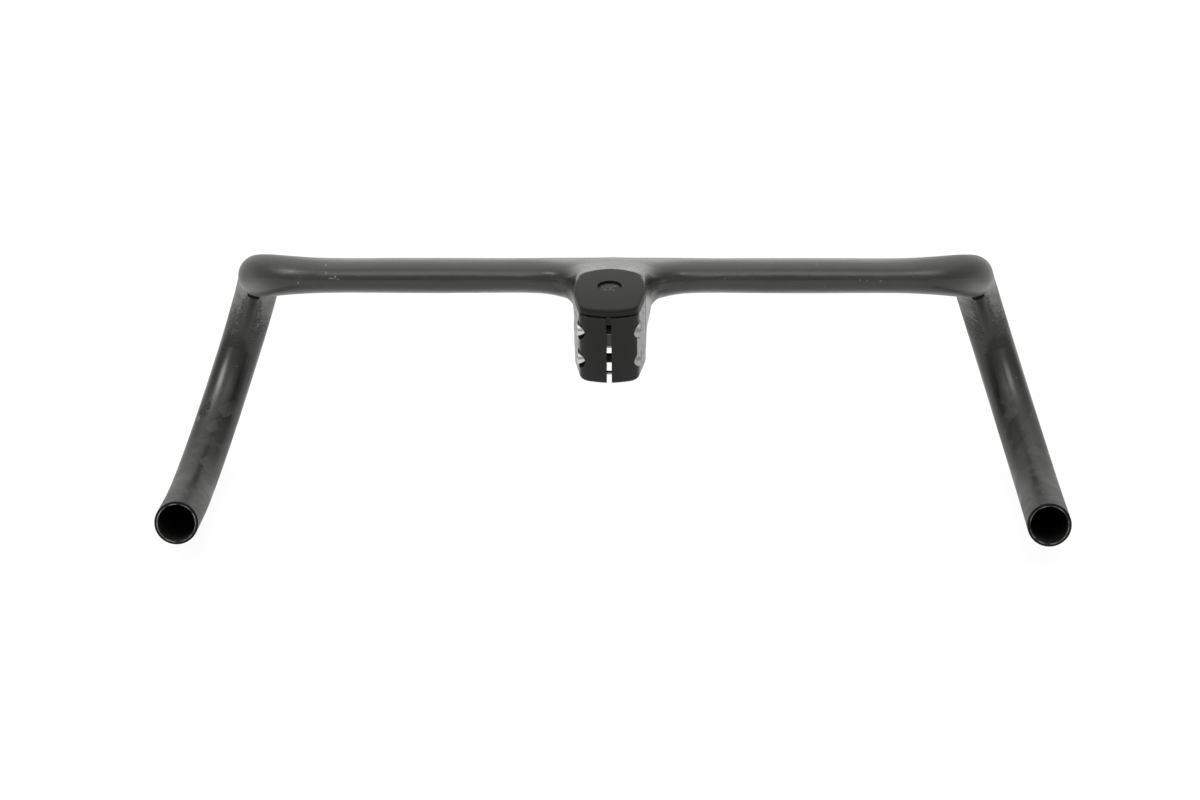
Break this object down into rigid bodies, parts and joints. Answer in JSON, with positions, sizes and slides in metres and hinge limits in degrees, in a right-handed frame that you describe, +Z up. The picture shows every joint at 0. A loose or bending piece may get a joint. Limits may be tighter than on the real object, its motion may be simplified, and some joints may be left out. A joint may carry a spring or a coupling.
{
  "type": "integrated handlebar stem",
  "caption": "One-piece carbon drop handlebar and stem with flattened tops, flared round drops, a split steerer clamp with side pinch bolts and a separate top cover.",
  "frame": {"origin": "on the steerer axis, in the plane of the clamp's bottom face", "axes": "+Z up the steerer axis, +Y forward along the stem, +X to the rider's right"},
  "size_m": [0.4978, 0.1805, 0.1639],
  "materials": {
    "carbon": "satin raw carbon laminate",
    "cover": "fine matt moulded plastic",
    "plug": "matt",
    "bolts": "plain steel",
    "washers": "plain steel",
    "nut_plate": "plain satin",
    "ring": "dark satin"
  },
  "bodies": {
    "root": {"bar_and_stem": "carbon", "top_cover": "cover", "centre_plug": "plug", "pinch_bolts": "bolts", "pinch_washers": "washers", "nut_plate": "nut_plate", "lower_ring": "ring"}
  },
  "joints": []
}
